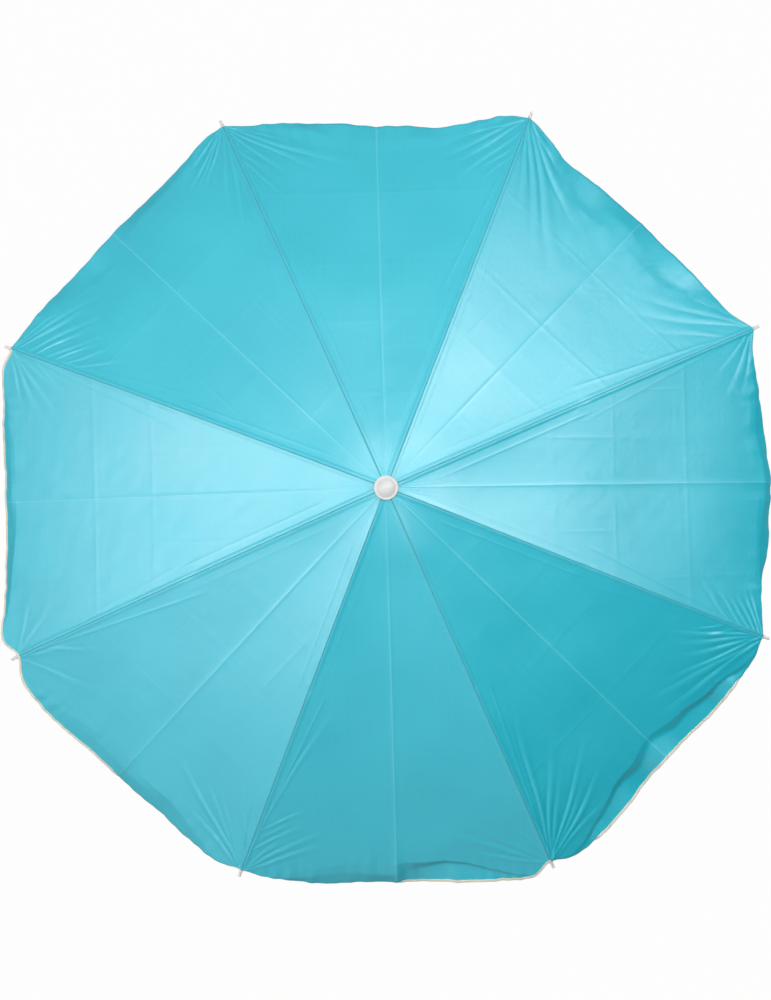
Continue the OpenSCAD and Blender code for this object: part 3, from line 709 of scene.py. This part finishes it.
def canopy_material():
    mat, net, shader = material("turquoise_polyester")
    uv = net.add("ShaderNodeUVMap", uv_map="cloth").outputs["UV"]
    where = net.add("ShaderNodeTexCoord").outputs["Object"]
    weave = net.group(WEAVE, Vector=uv, Thread=CLOTH_THREAD)
    streak = net.add("ShaderNodeMapping")
    streak.inputs["Scale"].default_value = ALONG_WARP
    net.put(uv, streak.inputs["Vector"])
    warp = net.noise(streak.outputs[0], 1.0, 2.0)
    cross = net.add("ShaderNodeMapping")
    cross.inputs["Scale"].default_value = ALONG_WEFT
    net.put(uv, cross.inputs["Vector"])
    weft = net.noise(cross.outputs[0], 1.0, 2.0)
    threads = net.math("ADD", net.math("MULTIPLY", warp, 0.5), net.math("MULTIPLY", weft, 0.5))
    blotch = net.noise(where, 7.0, 3.0)
    base = net.mix(net.span(blotch, 0.3, 0.7), DYE, DYE_PALER)
    base = net.mix(net.span(threads, 0.35, 0.65, 0.0, 0.30), base, THREAD_SHINE)
    seam = net.add("ShaderNodeAttribute", attribute_name="seam").outputs["Fac"]
    line = net.math("ABSOLUTE", seam)
    # Painted shadow: the base colour is darkened in a thin line along each seam, standing in for
    # the shade in the seam's gap; the same mask also makes the seam rougher.
    seam_shade_mask = net.span(line, 0.0005, 0.0020, 1.0, 0.0)
    base = net.mix(net.math("MULTIPLY", seam_shade_mask, 0.65), base, SEAM_GAP_SHADE)
    # Painted highlight: the base colour is made paler in a thin line down the packing crease in
    # the middle of each gore, standing in for light caught by its ridge; it grows stronger away
    # from the crown.
    parts = net.add("ShaderNodeSeparateXYZ")
    net.put(uv, parts.inputs[0])
    across = net.math("ABSOLUTE", parts.outputs["X"])
    faint = net.span(parts.outputs["Y"], 0.05, 0.35, 0.12, 0.45)
    pressed = net.math("MULTIPLY", net.span(across, 0.0004, 0.0024, 1.0, 0.0), faint)
    base = net.mix(pressed, base, CREASE_HIGHLIGHT)
    crackle = net.add("ShaderNodeTexNoise", noise_type="RIDGED_MULTIFRACTAL")
    net.put(uv, crackle.inputs["Vector"])
    crackle.inputs["Scale"].default_value = 48.0
    crackle.inputs["Detail"].default_value = 4.0
    # Painted highlight: in random patches, the ridges of the crinkle pattern, which also bumps the
    # cloth, are made paler, standing in for light caught by fine crinkles.
    glint_ridges = net.span(crackle.outputs["Fac"], 0.35, 0.8)
    glint_patches = net.span(blotch, 0.42, 0.62, 0.02, 0.22)
    base = net.mix(net.math("MULTIPLY", glint_ridges, glint_patches), base, CRINKLE_GLINT)
    net.put(base, shader.inputs["Base Color"])
    worn = net.span(blotch, 0.3, 0.7, 0.41, 0.47)
    rough = net.math("ADD", worn, net.math("MULTIPLY", seam_shade_mask, 0.5), clamp=True)
    net.put(rough, shader.inputs["Roughness"])
    shader.inputs["Specular IOR Level"].default_value = 1.0
    shader.inputs["IOR"].default_value = 1.8
    shader.inputs["Anisotropic"].default_value = 0.3
    shader.inputs["Sheen Weight"].default_value = 0.03
    shader.inputs["Sheen Roughness"].default_value = 0.4
    tangent = net.add("ShaderNodeTangent", direction_type="UV_MAP", uv_map="cloth")
    net.put(tangent.outputs[0], shader.inputs["Tangent"])
    height = net.math("ADD", net.math("MULTIPLY", weave.outputs["Height"], 0.35), threads)
    fine = bump(net, height, 0.35, 0.0003)
    crease = net.add("ShaderNodeBump")
    crease.inputs["Strength"].default_value = 0.22
    crease.inputs["Distance"].default_value = 0.0012
    net.put(crackle.outputs["Fac"], crease.inputs["Height"])
    net.put(fine, crease.inputs["Normal"])
    net.put(crease.outputs["Normal"], shader.inputs["Normal"])
    return mat


CLOTH = canopy_material()

# %% Binding material
def binding_material():
    mat, net, shader = material("cream_tape")
    where = net.add("ShaderNodeTexCoord").outputs["Object"]
    weave = net.group(WEAVE, Vector=where, Thread=0.0007)
    blotch = net.noise(where, 60.0, 3.0)
    base = net.mix(net.span(blotch, 0.3, 0.7), (0.66, 0.60, 0.47, 1), (0.78, 0.73, 0.61, 1))
    net.put(base, shader.inputs["Base Color"])
    shader.inputs["Roughness"].default_value = 0.8
    net.put(bump(net, weave.outputs["Height"], 0.5, 0.0003), shader.inputs["Normal"])
    return mat


TAPE = binding_material()


def dress(obj, mat):
    obj.data.materials.clear()
    obj.data.materials.append(mat)


# %% Fit the cloth to its ribs
for (k, obj, grid), tape in zip(SHEETS, BINDINGS):
    dress(obj, CLOTH)
    dress(tape, TAPE)
    for piece in (obj, tape):
        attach(piece, f"rib_{k}")
        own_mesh(piece)
    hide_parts(f"canopy_{k}")

# %% [markdown]
# ## Plastic, paint and plated steel
# The mouldings are white polypropylene, a little glossy, with a faint grain. The tubes are powder
# coated, which leaves a soft orange peel. Wire rings, rivets and the catch are plated steel.

# %% Hard materials
def plastic(name, colour, rough):
    mat, net, shader = material(name)
    where = net.add("ShaderNodeTexCoord").outputs["Object"]
    grain = net.group(GRAIN, Vector=where, Size=2600.0)
    darker = tuple(c * 0.93 for c in colour[:3]) + (1,)
    net.put(net.mix(grain.outputs["Smudge"], colour, darker), shader.inputs["Base Color"])
    worn = net.span(grain.outputs["Smudge"], 0, 1, rough, rough + 0.08)
    net.put(worn, shader.inputs["Roughness"])
    net.put(bump(net, grain.outputs["Height"], 0.12, 0.0002), shader.inputs["Normal"])
    return mat


def powder_coat():
    mat, net, shader = material("white_powder_coat")
    where = net.add("ShaderNodeTexCoord").outputs["Object"]
    grain = net.group(GRAIN, Vector=where, Size=700.0)
    coat = net.mix(grain.outputs["Smudge"], (0.80, 0.81, 0.80, 1), (0.74, 0.75, 0.74, 1))
    net.put(coat, shader.inputs["Base Color"])
    net.put(net.span(grain.outputs["Smudge"], 0, 1, 0.28, 0.36), shader.inputs["Roughness"])
    shader.inputs["Coat Weight"].default_value = 0.2
    net.put(bump(net, grain.outputs["Height"], 0.15, 0.0004), shader.inputs["Normal"])
    return mat


def plated_steel(name, colour, rough):
    mat, net, shader = material(name)
    where = net.add("ShaderNodeTexCoord").outputs["Object"]
    grain = net.group(GRAIN, Vector=where, Size=1500.0)
    darker = tuple(c * 0.8 for c in colour[:3]) + (1,)
    net.put(net.mix(grain.outputs["Smudge"], colour, darker), shader.inputs["Base Color"])
    shader.inputs["Metallic"].default_value = 1.0
    worn = net.span(grain.outputs["Height"], 0.3, 0.7, rough, rough + 0.15)
    net.put(worn, shader.inputs["Roughness"])
    return mat


WHITE = plastic("white_moulding", (0.64, 0.655, 0.645, 1), 0.30)
TIP = plastic("tip_moulding", (0.80, 0.73, 0.74, 1), 0.35)
GREY = plastic("grey_moulding", (0.20, 0.21, 0.22, 1), 0.45)
PAINT = powder_coat()
STEEL = plated_steel("zinc_plate", (0.62, 0.62, 0.60, 1), 0.28)
SPIKE = plated_steel("spike_steel", (0.32, 0.33, 0.34, 1), 0.40)
FINISH = {
    "white_plastic": WHITE, "grey_plastic": GREY, "pole_paint": PAINT, "rib_wire": PAINT,
    "steel": STEEL, "spike_steel": SPIKE}
for part in frame["record"]["subparts"]:
    if part["material_slot"] in FINISH:
        dress(frame["nodes"][part["node"]], FINISH[part["material_slot"]])
for k in range(1, RIBS + 1):
    dress(frame["nodes"][f"rib_tip_{k}"], TIP)
print("finished", len(frame["nodes"]), "nodes")

# %% [markdown]
# ## Floor, light and camera
# A pale floor and a white surround, two wide soft lamps on opposite sides above the canopy, and
# a third nearly overhead. Opposite lamps light every gore alike, but their reflections only reach
# the gores that face them, which is what makes some gores pale and others deep in colour. Powers
# and places were set by trial for this one view.

# %% Floor
FLOOR_SIZE = 14
FLOOR_GLOW = 0.98


def floor_material():
    mat, net, shader = material("pale_floor")
    shader.inputs["Base Color"].default_value = (0.35, 0.35, 0.35, 1)
    shader.inputs["Roughness"].default_value = 0.9
    path = net.add("ShaderNodeLightPath")
    glow = net.add("ShaderNodeEmission")
    glow.inputs["Color"].default_value = (1, 1, 1, 1)
    blend = net.add("ShaderNodeMixShader")
    out = net.tree.nodes["Material Output"]
    share = net.math("MULTIPLY", path.outputs["Is Camera Ray"], FLOOR_GLOW)
    net.put(share, blend.inputs[0])
    net.tree.links.new(shader.outputs[0], blend.inputs[1])
    net.tree.links.new(glow.outputs[0], blend.inputs[2])
    net.tree.links.new(blend.outputs[0], out.inputs["Surface"])
    return mat


bpy.ops.object.select_all(action="DESELECT")
bpy.ops.mesh.primitive_plane_add(size=FLOOR_SIZE, location=(0, 0, 0))
floor = bpy.context.object
floor.name = "floor"
dress(floor, floor_material())

# %% Lights
world = bpy.data.worlds.new("studio")
bpy.context.scene.world = world
world.use_nodes = True
surround = Net(world.node_tree)
back = world.node_tree.nodes["Background"]
back.inputs["Color"].default_value = (1, 1, 1, 1)
path = surround.add("ShaderNodeLightPath")
sky = surround.add("ShaderNodeTexCoord").outputs["Generated"]


SKY_RISE = 0.3


def sky_glow(azimuth, start, level):
    """Light from one side of the sky, rising from nothing where the dot product is start."""
    aim = surround.add("ShaderNodeVectorMath", operation="DOT_PRODUCT")
    surround.put(sky, aim.inputs[0])
    turn = math.radians(azimuth)
    aim.inputs[1].default_value = (math.cos(turn), math.sin(turn), SKY_RISE)
    return surround.span(aim.outputs["Value"], start, 1.0, 0.0, level)


glow = surround.math("ADD", sky_glow(112, -0.2, 0.33), sky_glow(232, 0.3, 0.46))
glow = surround.math("ADD", glow, 0.01)
strength = surround.math("MAXIMUM", path.outputs["Is Camera Ray"], glow)
surround.put(strength, back.inputs["Strength"])
CANOPY_Z = HUB_Z - 0.15


def soft_lamp(name, azimuth, tilt, distance, size, power):
    data = bpy.data.lights.new(name, "AREA")
    data.shape = "RECTANGLE"
    data.size, data.size_y = size
    data.energy = power
    lamp = bpy.data.objects.new(name, data)
    bpy.context.scene.collection.objects.link(lamp)
    a, t = math.radians(azimuth), math.radians(tilt)
    offset = Vector((math.sin(t) * math.cos(a), math.sin(t) * math.sin(a), math.cos(t)))
    lamp.location = Vector((0, 0, CANOPY_Z)) + offset * distance
    lamp.rotation_euler = offset.to_track_quat("Z", "Y").to_euler()
    return lamp


soft_lamp("lamp_right", 28, 41, 3.6, (2.2, 2.6), 80)
soft_lamp("lamp_left", 188, 39, 3.6, (2.2, 2.8), 62)
soft_lamp("lamp_top", 105, 13, 6.0, (3.0, 3.0), 92)

# %% Camera
CAMERA_AWAY = 4.0
CAMERA_TILT = math.radians(1.48)
VIEW_ROLL = math.radians(1.55)
TIP_PLANE_Z = float(rib_z(np.array(RIB_LEN)))
VIEW_HEIGHT = 2.0722
SENSOR = 36.0
camera_data = bpy.data.cameras.new("camera")
camera_data.sensor_width = SENSOR
camera_data.lens = SENSOR * CAMERA_AWAY / VIEW_HEIGHT
camera = bpy.data.objects.new("camera", camera_data)
bpy.context.scene.collection.objects.link(camera)
target = Vector((-0.0018, -0.0158, TIP_PLANE_Z))
upward = Vector((0, -math.sin(CAMERA_TILT), math.cos(CAMERA_TILT)))
camera.location = target + upward * CAMERA_AWAY
turned = Matrix.Rotation(CAMERA_TILT, 3, "X") @ Matrix.Rotation(-VIEW_ROLL, 3, "Z")
camera.rotation_euler = turned.to_euler()
bpy.context.scene.camera = camera
bpy.context.scene.view_settings.view_transform = "Standard"
print("camera", round(camera_data.lens, 1), "mm lens,", CAMERA_AWAY, "m away")
